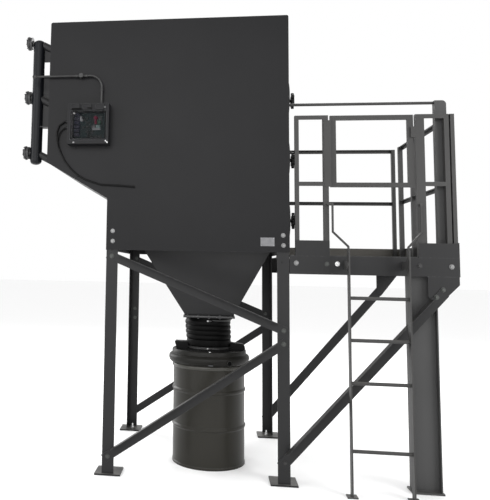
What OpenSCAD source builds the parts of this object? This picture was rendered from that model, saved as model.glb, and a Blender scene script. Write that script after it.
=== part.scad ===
// Cartridge dust collector on a braced leg frame, with a service platform,
// a ladder, a self-closing gate and a collecting drum under the hopper.
// Millimetres. +Z up, +X towards the platform, the front face looks along -Y.

/* [Frame] */
// half width over the legs, left to right
leg_half_x = 689; // [600:1:800]
// half depth over the legs, front to rear
leg_half_y = 739; // [640:1:900]
// leg angle face width
leg_face = 89; // [70:1:110]
// leg angle thickness
leg_thick = 7; // [5:0.5:12]
// top of the legs inside the housing skirt
leg_top = 1900; // [1850:1:1950]
// foot plate side
foot_side = 195; // [160:1:240]
// foot plate thickness
foot_thick = 12; // [8:1:20]
// anchor hole diameter
anchor_dia = 18; // [12:1:24]
// flat width of the leg braces
brace_face = 66; // [50:1:80]

/* [Housing] */
// sheet thickness
sheet = 4; // [3:0.5:6]
// top of the housing
housing_top = 3505; // [3300:1:3700]
// lower edge of the skirt
skirt_bottom = 1675; // [1640:1:1720]
// overhang of the clean air plenum to the left
overhang = 491; // [400:1:600]
// height of the plenum floor at its outer edge
slope_outer = 2360; // [2250:1:2450]
// height of the plenum floor at the tube sheet
slope_inner = 2075; // [1980:1:2150]
// height of the lowest row of access covers
cover_low = 1940; // [1920:1:1990]
// distance between rows of covers
cover_pitch = 492; // [420:1:500]
// access cover diameter
cover_dia = 400; // [300:1:420]

/* [Hopper and drum] */
// hopper outlet centre, left to right
out_x = 98; // [40:1:140]
// hopper outlet centre, front to rear
out_y = -215; // [-260:1:-100]
// free height from the drum top to the outlet flange
hose_gap = 284; // [250:1:320]
// square outlet flange side
flange_side = 408; // [380:1:440]
// hose bore
hose_bore = 340; // [300:1:360]
// drum diameter
drum_dia = 584; // [560:1:600]
// drum height
drum_h = 876; // [840:1:880]

/* [Platform] */
// level of the top of the platform channels
deck_z = 1652; // [1635:1:1670]
// channel height
chan_h = 135; // [125:1:155]
// channel flange width
chan_flange = 57; // [45:1:65]
// width of the railing panel beside the housing
near_bay = 246; // [220:1:300]
// width of the gate
gate_w = 598; // [560:1:640]
// railing bay beyond the gate
far_bay = 279; // [240:1:320]
// top of the railing
rail_top = 2714; // [2680:1:2800]
// height of the middle rail
rail_mid = 2192; // [2150:1:2250]
// height of the toe boards above the deck channels
toe_h = 116; // [100:1:125]
// railing bar width
rail_w = 32; // [28:1:40]
// brace flat width under the platform
knee_face = 76; // [60:1:90]

/* [Ladder and gate] */
// left edge of the ladder
lad_x1 = 1080; // [1060:1:1130]
// right edge of the ladder
lad_x2 = 1498; // [1470:1:1530]
// distance of the ladder in front of the platform channel
lad_out = 141; // [110:1:180]
// rung diameter
rung_dia = 25; // [19:1:30]
// lowest rung
rung_low = 306; // [260:1:330]
// second rung, the equal steps start here
rung_two = 766; // [700:1:780]
// rung spacing
rung_step = 295; // [280:1:310]
// lower edge of the gate
gate_low = 2170; // [2120:1:2200]
// hinge pin diameter
pin_dia = 10; // [8:1:11]

/* [Compressed air] */
// header tank diameter
tank_dia = 95; // [70:1:110]
// centre of the tank from the left wall
tank_off = 126; // [100:1:150]
// lowest pulse valve
valve_low = 2457; // [2430:1:2480]
// valve spacing
valve_pitch = 460; // [420:1:470]

/* [Hidden] */

plat_rear = leg_half_y;
wall_x = leg_half_x + sheet;
wall_y = leg_half_y + sheet;
plen_x = -(wall_x + overhang);
tank_x = plen_x - tank_off;
tank_y = -620;
hose_r = hose_bore / 2;
lid_z = drum_h;
out_z = drum_h + hose_gap;
post_a = wall_x + 42;
post_b = post_a + near_bay;
gx0 = post_b + 16;
gx1 = gx0 + gate_w;
post_c = gx1 + 11;
plat_end = post_c + far_bay;
lad_y = -leg_half_y - lad_out;
gate_th = 25;
fy = -leg_half_y;
axis_x = gx0 - 7;
axis_y = fy + 54;
knuckle_r = 8;
brace_out = skirt_bottom - 48;
brace_mid_u = brace_out - 526;
brace_mid_l = brace_mid_u - 98;
brace_low = 137;
paint = [0.16, 0.17, 0.18];
frame_c = [0.24, 0.25, 0.26];

// a box from its low corner to its high corner
module blk(a, b) {
  translate(a)
  cube([b[0] - a[0], b[1] - a[1], b[2] - a[2]]);
}

// upright equal angle with its heel at the origin, faces along +X and +Y
module angle_up(w, t, h) {
  linear_extrude(height = h)
  polygon([[0, 0], [w, 0], [w, t], [t, t], [t, w], [0, w]]);
}

// a round bar between two points
module rod(a, b, d, n = 20) {
  v = b - a;
  l = norm(v);
  translate(a)
  rotate([0, acos(v[2] / l), atan2(v[1], v[0])])
  cylinder(h = l, d = d, $fn = n);
}

// outline of the front and rear sheets
module face_outline() {
  polygon([[plen_x, housing_top - 12], [plen_x + 4, housing_top - 4],
    [plen_x + 12, housing_top], [wall_x - 12, housing_top],
    [wall_x - 4, housing_top - 4], [wall_x, housing_top - 12],
    [wall_x, skirt_bottom], [-wall_x, skirt_bottom],
    [-wall_x, slope_inner], [plen_x, slope_outer]]);
}

module front_sheet() {
  color(paint)
  translate([0, -leg_half_y, 0])
  rotate([90, 0, 0])
  linear_extrude(height = sheet)
  face_outline();
}

module rear_sheet() {
  color(paint)
  difference() {
    translate([0, leg_half_y + sheet, 0])
    rotate([90, 0, 0])
    linear_extrude(height = sheet)
    face_outline();
    translate([inlet_x, 0, inlet_z])
    rotate([-90, 0, 0])
    cylinder(h = 1000, d = inlet_d, $fn = 64);
    translate([outlet_x, 0, outlet_z])
    rotate([-90, 0, 0])
    cylinder(h = 1000, d = outlet_d, $fn = 64);
  }
}

module left_wall() {
  color(paint)
  blk([plen_x, -leg_half_y, slope_outer + 2], [plen_x + sheet, leg_half_y, housing_top - 12]);
}

module plenum_floor() {
  color(paint)
  rotate([90, 0, 0])
  translate([0, 0, -leg_half_y])
  linear_extrude(height = 2 * leg_half_y)
  polygon([[plen_x, slope_outer], [-wall_x, slope_inner],
    [-wall_x, slope_inner + sheet * 1.2], [plen_x, slope_outer + 2]]);
}

module tube_sheet() {
  color(paint)
  blk([-wall_x, -leg_half_y, skirt_bottom],
    [-leg_half_x, leg_half_y, housing_top - 6]);
}

module right_wall() {
  color(paint)
  blk([leg_half_x, -leg_half_y, skirt_bottom], [wall_x, leg_half_y, housing_top - 12]);
}

module roof_sheet() {
  color(paint)
  rotate([90, 0, 0])
  translate([0, 0, -leg_half_y])
  linear_extrude(height = 2 * leg_half_y)
  polygon([[plen_x, housing_top - 12], [plen_x + 4, housing_top - 4],
    [plen_x + 12, housing_top], [wall_x - 12, housing_top],
    [wall_x - 4, housing_top - 4], [wall_x, housing_top - 12],
    [wall_x - sheet, housing_top - 12], [wall_x - 14, housing_top - 6],
    [plen_x + 14, housing_top - 6], [plen_x + sheet, housing_top - 12]]);
}

// slab used to shape the hopper
module slab(x0, x1, y0, y1, z) {
  translate([x0, y0, z])
  cube([x1 - x0, y1 - y0, 0.5]);
}

hop_x0 = -547;
hop_x1 = leg_half_x - 13;
hop_y0 = -leg_half_y + 19;
hop_y1 = leg_half_y - 89;
oh = hose_r + 18;

module hopper() {
  color(paint)
  union() {
    difference() {
      hull() {
        slab(hop_x0, hop_x1, hop_y0, hop_y1, leg_top - 0.5);
        slab(out_x - oh, out_x + oh, out_y - oh, out_y + oh, out_z + 8);
      }
      hull() {
        slab(hop_x0 + 5, hop_x1 - 5, hop_y0 + 5, hop_y1 - 5, leg_top);
        slab(out_x - oh + 5, out_x + oh - 5, out_y - oh + 5, out_y + oh - 5, out_z + 7);
      }
    }
    difference() {
      blk([-leg_half_x, -leg_half_y, leg_top], [leg_half_x, leg_half_y, leg_top + 6]);
      blk([hop_x0 + 5, hop_y0 + 5, leg_top - 1], [hop_x1 - 5, hop_y1 - 5, leg_top + 7]);
    }
  }
}

collar_h = hose_gap / 4;

module outlet_flange() {
  color(frame_c)
  difference() {
    union() {
      blk([out_x - flange_side / 2, out_y - flange_side / 2, out_z - 8],
        [out_x + flange_side / 2, out_y + flange_side / 2, out_z + 8]);
      translate([out_x, out_y, out_z - collar_h])
      cylinder(h = collar_h, r = hose_r - 0.3, $fn = 64);
    }
    translate([out_x, out_y, out_z - collar_h - 10])
    cylinder(h = collar_h + 30, r = hose_r - 5, $fn = 64);
  }
}

rib = 20;
hose_n = 4;
hose_low = lid_z + 19;
hose_len = out_z - 8 - hose_low;

// corrugated hose from the outlet collar down to the lid spigot
module flex_hose() {
  cuff = hose_len * 0.3;
  p = (hose_len - cuff - 28) / hose_n;
  color([0.06, 0.06, 0.06])
  translate([out_x, out_y, hose_low])
  rotate_extrude($fn = 48)
  union() {
    translate([hose_r, 0])
    square([5, hose_len]);
    polygon([[hose_r + 4, 25], [hose_r + 9, 30], [hose_r + 9, cuff - 8], [hose_r + 4, cuff]]);
    for (i = [0 : hose_n - 1])
      translate([0, cuff + i * p])
      polygon([[hose_r + 4, p * 0.05], [hose_r + 9, p * 0.2], [hose_r + 12, p * 0.4],
        [hose_r + 12, p * 0.6], [hose_r + 9, p * 0.8], [hose_r + 4, p * 0.95]]);
  }
}

module clamp_ring(z) {
  translate([out_x, out_y, z])
  difference() {
    union() {
      cylinder(h = 16, r = hose_r + 7, $fn = 48);
      translate([-16, -hose_r - 19, 1])
      cube([32, 16, 14]);
    }
    translate([0, 0, -1])
    cylinder(h = 18, r = hose_r + 5, $fn = 48);
  }
}

module hose_clamps() {
  color([0.55, 0.55, 0.55])
  union() {
    clamp_ring(hose_low + 5);
    clamp_ring(hose_low + hose_len - 23);
  }
}

// 200 litre drum with rolled hoops
module drum_body() {
  r = drum_dia / 2;
  color([0.2, 0.22, 0.19])
  translate([out_x, out_y, 0])
  rotate_extrude($fn = 64)
  polygon([[0, 18], [r - 8, 18], [r - 8, 0], [r, 0], [r, 14], [r - 4, 20],
    [r - 4, drum_h * 0.32], [r + 4, drum_h * 0.335], [r + 4, drum_h * 0.345],
    [r - 4, drum_h * 0.36], [r - 4, drum_h * 0.64], [r + 4, drum_h * 0.655],
    [r + 4, drum_h * 0.665], [r - 4, drum_h * 0.68], [r - 4, drum_h - 20],
    [r, drum_h - 14], [r, drum_h], [r - 8, drum_h], [r - 8, 26], [0, 26]]);
}

module drum_lid() {
  color([0.2, 0.21, 0.2])
  translate([out_x, out_y, lid_z])
  difference() {
    union() {
      cylinder(h = 10, d = drum_dia + 14, $fn = 64);
      cylinder(h = 19, r = hose_r + 22, $fn = 48);
      cylinder(h = collar_h + 10, r = hose_r - 0.3, $fn = 48);
    }
    translate([0, 0, -1])
    cylinder(h = collar_h + 20, r = hose_r - 5, $fn = 48);
  }
}

// lift block on the left and rounded lug on the right of the lid
module lid_handles() {
  a = hose_r + 24;
  b = drum_dia / 2;
  color([0.2, 0.21, 0.2])
  translate([out_x, out_y, lid_z + 10])
  union() {
    translate([0, 45, 0])
    rotate([90, 0, 0])
    linear_extrude(height = 90)
    polygon([[-b + 18, 0], [-a, 0], [-a, 74], [-b + 2, 74], [-b - 3, 68]]);
    translate([0, 35, 0])
    rotate([90, 0, 0])
    linear_extrude(height = 70)
    union() {
      translate([a, 0])
      square([b - 33 - a, 66]);
      translate([b - 33, 33])
      circle(r = 33, $fn = 40);
    }
  }
}

// rolled closing ring round the lid and the top of the drum
module drum_ring() {
  r = drum_dia / 2;
  color([0.32, 0.33, 0.33])
  translate([out_x, out_y, lid_z - 90])
  difference() {
    union() {
      rotate_extrude($fn = 64)
      polygon([[r + 0.3, 0], [r + 14, 2], [r + 28, 14], [r + 36, 34], [r + 38, 52],
        [r + 34, 70], [r + 22, 86], [r + 10, 98], [r - 2, 104], [r - 10, 104], [r - 10, 100.2],
        [r + 7.3, 100.2], [r + 7.3, 30], [r + 0.3, 22]]);
      rotate([0, 0, -60])
      translate([r + 14, 0, 26])
      rotate([0, 90, 0])
      cylinder(h = 30, r = 20, $fn = 32);
    }
    rotate([0, 0, -60])
    translate([r + 34, 0, 26])
    rotate([0, 90, 0])
    cylinder(h = 20, r = 13, $fn = 32);
  }
}

// sx and sy say which corner the leg stands at
module leg(sx, sy) {
  h = leg_top - foot_thick;
  color(frame_c)
  translate([sx * leg_half_x, sy * leg_half_y, foot_thick])
  mirror([sx > 0 ? 1 : 0, 0, 0])
  mirror([0, sy > 0 ? 1 : 0, 0])
  angle_up(leg_face, leg_thick, h);
}

module leg_front_left() {
  leg(-1, -1);
}

module leg_front_right() {
  leg(1, -1);
}

module leg_rear_left() {
  leg(-1, 1);
}

module leg_rear_right() {
  leg(1, 1);
}

foot_x = leg_half_x - 44;
foot_y = leg_half_y + 20 - foot_side / 2;

module foot_plates() {
  color(frame_c)
  for (sx = [-1, 1])
    for (sy = [-1, 1])
      difference() {
        translate([sx * foot_x - foot_side / 2, sy * foot_y - foot_side / 2, 0])
        cube([foot_side, foot_side, foot_thick]);
        translate([sx * (foot_x - 15), sy * (foot_y - 15), -1])
        cylinder(h = foot_thick + 2, d = anchor_dia, $fn = 32);
      }
}

// flat angle brace in the plane of the legs between two bolt centres
module brace(p, q, y, w, side, ext = 38, end2 = 38) {
  v = [q[0] - p[0], q[1] - p[1]];
  l = norm(v);
  a = atan2(v[1], v[0]);
  translate([p[0], y, p[1]])
  rotate([0, -a, 0])
  translate([-ext, 0, -w / 2])
  union() {
    cube([l + ext + end2, 6, w]);
    if (side != 0)
      translate([ext * 2.4, side < 0 ? -(w - 16) : 0, w - 6])
      cube([l - ext * 2.8, w - 10, 6]);
  }
}

module front_upper_brace() {
  color(frame_c)
  brace([-foot_x, brace_out], [foot_x, brace_mid_u], -leg_half_y - 6, brace_face, -1, 38, 20);
}

module front_lower_brace() {
  color(frame_c)
  brace([-foot_x, brace_low], [foot_x, brace_mid_l], -leg_half_y - 6, brace_face, -1, 38, 20);
}

module rear_upper_brace() {
  color(frame_c)
  brace([-foot_x, brace_out], [foot_x, brace_mid_u], leg_half_y, brace_face, 0, 38, 20);
}

module rear_lower_brace() {
  color(frame_c)
  brace([-foot_x, brace_low], [foot_x, brace_mid_l], leg_half_y, brace_face, 0, 38, 20);
}

chan_t = 6;
flange_end = plat_end - chan_flange - 1;

// channel along X with its web outside, s is the side the web faces
module chan_x(y, s) {
  z = deck_z - chan_h;
  color(frame_c)
  union() {
    blk([wall_x, min(y, y - s * chan_t), z],
      [plat_end - chan_t - 0.3, max(y, y - s * chan_t), deck_z]);
    for (k = [0, chan_h - 8])
      blk([wall_x, min(y, y - s * chan_flange), z + k],
        [flange_end, max(y, y - s * chan_flange), z + k + 8]);
  }
}

module front_channel() {
  chan_x(-leg_half_y, -1);
}

module rear_channel() {
  chan_x(plat_rear, 1);
}

module end_channel() {
  z = deck_z - chan_h;
  color(frame_c)
  union() {
    blk([plat_end - chan_t, -leg_half_y, z], [plat_end, plat_rear, deck_z]);
    for (k = [0, chan_h - 8])
      blk([plat_end - chan_flange, -leg_half_y + chan_t + 0.3, z + k],
        [plat_end, plat_rear - chan_t - 0.3, z + k + 8]);
  }
}

deck_t = 6;

// floor plate lying on the channels
module deck() {
  color([0.3, 0.31, 0.32])
  blk([wall_x + 3, -leg_half_y + 7, deck_z], [plat_end - 7, plat_rear - 7, deck_z + deck_t]);
}

module toe_boards() {
  z1 = deck_z + toe_h;
  color(frame_c)
  union() {
    blk([post_a, -leg_half_y, deck_z], [post_b, -leg_half_y + 6, z1]);
    blk([post_c, -leg_half_y, deck_z], [plat_end - 7, -leg_half_y + 6, z1 - 10]);
    blk([plat_end - 6, -leg_half_y, deck_z], [plat_end, plat_rear, z1 - 5]);
    blk([post_a + 1, plat_rear - 6, deck_z], [plat_end - 7, plat_rear, z1 - 5]);
  }
}

gus_x = plat_end - 139;
gus_z = deck_z - 279;

module front_knee_brace() {
  color(frame_c)
  brace([foot_x + 5, 163], [gus_x, gus_z], -leg_half_y - 6, knee_face, -1, 42, 42);
}

module rear_knee_brace() {
  color(frame_c)
  brace([foot_x + 5, 158], [gus_x - 33, gus_z + 18], plat_rear, knee_face, 0, 42, 42);
}

// plates under the outer end of the channels
module gussets() {
  z = deck_z - chan_h;
  color(frame_c)
  union() {
    translate([0, -leg_half_y + 6, 0])
    rotate([90, 0, 0])
    linear_extrude(height = 6)
    polygon([[gus_x - 83, z], [plat_end - 5, z], [plat_end - 5, z - 57],
      [gus_x + 8, z - 183], [gus_x - 18, z - 205], [gus_x - 83, z - 142]]);
    translate([0, plat_rear, 0])
    rotate([90, 0, 0])
    linear_extrude(height = 6)
    polygon([[gus_x - 80, z], [gus_x + 111, z], [gus_x - 42, z - 199], [gus_x - 80, z - 157]]);
  }
}

col_w = 192;
col_x0 = gus_x - 18 - col_w;
col_y0 = -leg_half_y + 7;
col_d = 102;

// wide flange column under the front channel, web along X
module platform_column() {
  z1 = deck_z - chan_h;
  color(frame_c)
  union() {
    blk([col_x0, col_y0, 12], [col_x0 + 8, col_y0 + col_d, z1]);
    blk([col_x0 + col_w - 8, col_y0, 12], [col_x0 + col_w, col_y0 + col_d, z1]);
    blk([col_x0, col_y0 + col_d / 2 - 3, 12],
      [col_x0 + col_w, col_y0 + col_d / 2 + 3, z1]);
    blk([col_x0 - 12, col_y0 - 7, 0], [col_x0 + col_w + 12, col_y0 + col_d + 30, 12]);
  }
}

rail_t = 5;

// angle rail along X, s points to the side its flat leg turns to
module rail_x(x0, x1, y, z, s) {
  blk([x0, min(y, y + s * rail_t), z - rail_w], [x1, max(y, y + s * rail_t), z]);
  blk([x0, min(y, y + s * rail_w), z - rail_t], [x1, max(y, y + s * rail_w), z]);
}

// angle rail along Y at the outer end
module rail_y(y0, y1, x, z) {
  blk([x - rail_t, y0, z - rail_w], [x, y1, z]);
  blk([x - rail_w, y0, z - rail_t], [x, y1, z]);
}

py0 = -leg_half_y + 6;

module railing_front() {
  z0 = deck_z + deck_t;
  color(frame_c)
  union() {
    blk([post_a, py0, z0], [post_a + 30, py0 + 36, rail_top]);
    blk([post_b - 39, py0, z0], [post_b, py0 + 38, rail_top]);
    rail_x(post_a, post_b, py0, rail_top, 1);
    rail_x(post_a, post_b, py0, rail_mid + rail_w / 2, 1);
    blk([post_c, py0, z0], [post_c + 62, py0 + 38, rail_top]);
    blk([plat_end - 78, py0, z0], [plat_end - 45, py0 + 36, rail_top]);
    rail_x(post_c, plat_end - 45, py0, rail_top, 1);
    rail_x(post_c, plat_end - 45, py0, rail_mid + rail_w / 2, 1);
    blk([gx1 - 22, py0, rail_top - 172], [post_c + 1, py0 + 7, rail_top - 92]);
  }
}

ex = plat_end - 6;
end_y = plat_rear - 151;

module railing_end() {
  z0 = deck_z + deck_t;
  color(frame_c)
  union() {
    blk([ex - 27, py0, z0], [ex, py0 + 36, rail_top]);
    blk([ex - 37, plat_rear - 554, z0], [ex, plat_rear - 516, rail_top]);
    blk([ex - 37, end_y - 38, z0], [ex, end_y, rail_top]);
    rail_y(py0, end_y, ex, rail_top);
    rail_y(py0, end_y, ex, rail_mid + rail_w / 2);
  }
}

module railing_rear() {
  z0 = deck_z + deck_t;
  y1 = plat_rear - 6;
  color(frame_c)
  union() {
    blk([post_a, y1 - 36, z0], [post_a + 30, y1, rail_top]);
    blk([plat_end - 67, y1 - 36, z0], [plat_end - 35, y1, rail_top]);
    rail_x(post_a, plat_end - 35, y1, rail_top, -1);
    rail_x(post_a, plat_end - 35, y1, rail_mid + rail_w / 2, -1);
  }
}

// swinging gate frame with its own knuckles
module gate() {
  y0 = fy + 20;
  y1 = y0 + gate_th;
  z1 = rail_top;
  color([0.27, 0.28, 0.29])
  difference() {
    union() {
      blk([gx0, y0, gate_low], [gx0 + 43, y1, z1]);
      blk([gx1 - 43, y0, gate_low], [gx1, y1, z1]);
      blk([gx0, y0, z1 - 34], [gx1, y1, z1]);
      blk([gx0, y0, gate_low], [gx1, y1, gate_low + 34]);
      for (z = [gate_low + 100, z1 - 150]) {
        translate([axis_x, axis_y, z + 26])
        cylinder(h = 24, r = knuckle_r, $fn = 32);
        blk([axis_x, y1 - 0.5, z + 26], [gx0 + 40, y1 + 5, z + 50]);
      }
    }
    for (z = [gate_low + 100, z1 - 150])
      translate([axis_x, axis_y, z + 20])
      cylinder(h = 40, d = pin_dia + 0.1, $fn = 48);
  }
}

// fixed leaves, knuckles and pins on the left gate post
module gate_hinges() {
  color([0.5, 0.5, 0.5])
  for (z = [gate_low + 100, rail_top - 150])
    union() {
      for (k = [0, 56])
        translate([axis_x, axis_y, z + k])
        cylinder(h = 20, r = knuckle_r, $fn = 32);
      translate([axis_x, axis_y, z])
      cylinder(h = 76, d = pin_dia, $fn = 48);
      for (k = [0, 56])
        blk([post_b - 35, -leg_half_y + 44, z + k], [axis_x, -leg_half_y + 50, z + k + 20]);
      blk([post_b - 35, -leg_half_y + 44, z], [post_b - 5, -leg_half_y + 50, z + 76]);
    }
}

str_d = 60;
lad_top = deck_z + 48;
chan_mid = deck_z - 62;

module ladder_stringers() {
  color([0.3, 0.31, 0.32])
  for (x = [lad_x1, lad_x2 - 10])
    union() {
      blk([x, lad_y - str_d / 2, 8], [x + 10, lad_y + str_d / 2, lad_top]);
      blk([x - 30, lad_y - str_d / 2 - 6, 0], [x + 40, lad_y + str_d / 2 + 6, 8]);
      blk([x, lad_y, chan_mid - 30], [x + 10, -leg_half_y, chan_mid + 30]);
    }
}

module ladder_rungs() {
  color([0.3, 0.31, 0.32])
  for (z = [rung_low, rung_two, rung_two + rung_step, rung_two + 2 * rung_step])
    rod([lad_x1 + 10, lad_y, z], [lad_x2 - 10, lad_y, z], rung_dia, 24);
}

grab_low = deck_z + 180;
grab_top = deck_z + 384;
grab_l = gx0 + 3;

module grab_rails() {
  y = -leg_half_y - 22;
  color([0.3, 0.31, 0.32])
  union() {
    rod([lad_x1 + 5, lad_y, lad_top], [lad_x1 + 5, lad_y, lad_top + 22], 16, 16);
    rod([lad_x1 + 5, lad_y, lad_top + 20], [grab_l, y, grab_low], 16, 16);
    rod([grab_l, y, grab_low - 3], [grab_l, y, grab_top + 8], 16, 16);
    rod([grab_l + 6, y, grab_top], [post_b - 13, y, grab_top], 16, 16);
    rod([post_b - 13, y - 7, grab_top], [post_b - 13, py0, grab_top], 16, 16);
    rod([lad_x2 - 5, lad_y, lad_top], [lad_x2 - 5, lad_y, lad_top + 22], 16, 16);
    rod([lad_x2 - 5, lad_y, lad_top + 20], [post_c + 16, y, grab_low], 16, 16);
    rod([post_c + 16, y, grab_low - 3], [post_c + 16, y, grab_top + 8], 16, 16);
    rod([post_c + 16, y - 7, grab_top], [post_c + 16, py0, grab_top], 16, 16);
  }
}

riser_w = 83;
riser_x = ex - rail_w - 2 - riser_w;
riser_y = -leg_half_y + 85;
riser_top = rail_top + 117;
bar_z = riser_top - 14;

// upright box section with a rounded top beside the railing
module riser() {
  color(paint)
  translate([0, riser_y + 25, 0])
  rotate([90, 0, 0])
  linear_extrude(height = 50)
  union() {
    translate([riser_x, deck_z + deck_t])
    square([riser_w, riser_top - deck_z - deck_t - 30]);
    translate([riser_x, riser_top - 138])
    square([riser_w - 30, 138]);
    translate([riser_x + riser_w - 30, riser_top - 30])
    circle(r = 30, $fn = 48);
  }
}

module overhead_bar() {
  color(frame_c)
  rod([wall_x, riser_y, bar_z], [riser_x, riser_y, bar_z], 22, 20);
}

// compressed air header standing beside the front corner
module header_tank() {
  l = 2 * valve_pitch + 123;
  color([0.25, 0.27, 0.28])
  translate([tank_x, tank_y, valve_low - 98])
  rotate_extrude($fn = 40)
  polygon(concat([[0, 0]],
    [for (a = [-80 : 20 : 0]) [tank_dia / 2 * cos(a), 30 + 30 * sin(a)]],
    [for (a = [0 : 20 : 80]) [tank_dia / 2 * cos(a), l - 30 + 30 * sin(a)]],
    [[0, l]]));
}

// room for the header where pieces meet it
module tank_room() {
  translate([tank_x, tank_y, valve_low - 110])
  cylinder(h = 2 * valve_pitch + 210, r = tank_dia / 2 + 0.3, $fn = 40);
}

module header_brackets() {
  zc = valve_low + valve_pitch;
  color(frame_c)
  difference() {
    union() {
      blk([tank_x, tank_y - 4, zc - 253], [plen_x, tank_y + 4, zc - 110]);
      blk([tank_x, tank_y - 4, zc + 32], [plen_x, tank_y + 4, zc + 175]);
      for (z = [zc - 253, zc + 167])
        blk([tank_x, tank_y - 34, z], [plen_x, tank_y + 34, z + 8]);
    }
    tank_room();
  }
}

module pulse_valves() {
  color([0.42, 0.43, 0.42])
  difference() {
    for (i = [0 : 2])
      translate([tank_x, tank_y, valve_low + i * valve_pitch])
      rotate([0, -90, 0])
      union() {
        cylinder(h = tank_dia / 2 + 14, r = 24, $fn = 32);
        translate([0, 0, tank_dia / 2 + 8])
        cylinder(h = 22, r = 50, $fn = 32);
        translate([0, 0, tank_dia / 2 + 30])
        cylinder(h = 9, r = 56, $fn = 32);
        translate([0, 0, tank_dia / 2 + 39])
        cylinder(h = 16, r = 34, $fn = 32);
      }
    tank_room();
  }
}

pipe_drop = 78;

// short sloping pipes from the header through the wall
module blow_pipes() {
  color(frame_c)
  difference() {
    for (i = [0 : 2])
      rod([tank_x, tank_y, valve_low + i * valve_pitch],
        [plen_x + 30, tank_y, valve_low + i * valve_pitch - pipe_drop], 60, 24);
    tank_room();
    blk([plen_x, tank_y - 60, valve_low - 200],
      [plen_x + 90, tank_y + 60, valve_low + 2 * valve_pitch + 100]);
  }
}

cy_list = [-370, 370];

// round covers over the ends of the cartridges
module access_covers() {
  color(paint)
  for (y = cy_list)
    for (i = [0 : 2])
      translate([wall_x, y, cover_low + i * cover_pitch])
      rotate([0, 90, 0])
      union() {
        cylinder(h = 10, d = cover_dia, $fn = 48);
        translate([0, 0, 10])
        cylinder(h = 22, d1 = cover_dia - 30, d2 = cover_dia - 80, $fn = 48);
      }
}

// hand knobs in the middle of the covers
module cover_knobs() {
  color([0.08, 0.08, 0.08])
  for (y = cy_list)
    for (i = [0 : 2])
      translate([wall_x + 32, y, cover_low + i * cover_pitch])
      rotate([0, 90, 0])
      union() {
        cylinder(h = 30, r = 14, $fn = 24);
        translate([0, 0, 26])
        cylinder(h = 24, r = 40, $fn = 32);
        for (a = [0 : 60 : 300])
          rotate([0, 0, a])
          translate([48, 0, 28])
          cylinder(h = 20, r = 18, $fn = 20);
      }
}

box_x0 = plen_x + 179;
box_w = 325;
box_h = 321;
box_x1 = box_x0 + box_w;
box_z0 = 2490;
box_z1 = box_z0 + box_h;

module control_box() {
  y = -wall_y;
  color([0.3, 0.32, 0.32])
  union() {
    difference() {
      blk([box_x0, y - 90, box_z0], [box_x1, y, box_z1]);
      blk([box_x0 + 40, y - 100, box_z0 + 44], [box_x1 - 30, y - 30, box_z1 - 66]);
    }
    for (x = [box_x0 + 61, box_x0 + 154, box_x0 + 254])
      blk([x - 33, y - 100, box_z1 - 53], [x + 33, y - 88, box_z1 - 9]);
  }
}

module circuit_board() {
  y = -wall_y;
  color([0.1, 0.35, 0.3])
  blk([box_x0 + 44, y - 44, box_z0 + 48], [box_x1 - 34, y - 30, box_z1 - 70]);
}

module box_cover() {
  y = -wall_y;
  color([0.6, 0.7, 0.7, 0.4])
  blk([box_x0 + 22, y - 95, box_z0 + 26], [box_x1 - 16, y - 90, box_z1 - 58]);
}

module conduit() {
  y = -wall_y - 30;
  x = box_x1 - 70;
  zt = box_z1 + 142;
  color([0.7, 0.7, 0.7])
  union() {
    rod([x, y, box_z1], [x, y, zt], 18, 24);
    translate([x - 95, y, zt])
    rotate([90, 0, 0])
    rotate_extrude(angle = 90, $fn = 48)
    translate([95, 0])
    circle(d = 18, $fn = 24);
    rod([tank_x - 4, y, zt + 95], [x - 95, y, zt + 95], 18, 24);
    rod([x - 167, y - 17, zt + 95], [x - 167, -wall_y, zt + 95], 36, 24);
  }
}

// short rods following the droop of the cable, placed from the box's lower left corner
module sensor_cable() {
  d = 13;
  pts = [[0, 193], [-39, 193], [-83, 162], [-101, 115], [-99, 40], [-73, -41], [-33, -120],
    [21, -187], [79, -238], [135, -269], [260, -310], [397, -316], [519, -326]];
  last = pts[len(pts) - 1];
  color([0.05, 0.05, 0.05])
  translate([box_x0, -wall_y - 12, box_z0])
  union() {
    for (i = [0 : len(pts) - 2])
      rod([pts[i][0], 0, pts[i][1]], [pts[i + 1][0], 0, pts[i + 1][1]], d, 12);
    for (i = [1 : len(pts) - 1])
      translate([pts[i][0], 0, pts[i][1]])
      sphere(d = d, $fn = 12);
    rod([last[0], 0, last[1]], [last[0], 12, last[1]], 22);
  }
}

module nameplate() {
  x = wall_x - 112;
  z = skirt_bottom + 45;
  color([0.7, 0.7, 0.7])
  blk([x - 102, -wall_y - 2, z], [x, -wall_y, z + 64]);
}

inlet_x = 0;
inlet_z = housing_top - 275;
inlet_d = 355;
outlet_x = plen_x + overhang / 2;
outlet_z = housing_top - 425;
outlet_d = 355;

// round duct collar with a flange on the rear sheet
module collar(x, z, d) {
  translate([x, wall_y, z])
  rotate([-90, 0, 0])
  difference() {
    union() {
      cylinder(h = 100, d = d + 8, $fn = 64);
      cylinder(h = 6, d = d + 80, $fn = 64);
    }
    translate([0, 0, -1])
    cylinder(h = 102, d = d, $fn = 64);
  }
}

module inlet_collar() {
  color(paint)
  collar(inlet_x, inlet_z, inlet_d);
}

module outlet_collar() {
  color(paint)
  collar(outlet_x, outlet_z, outlet_d);
}

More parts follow.
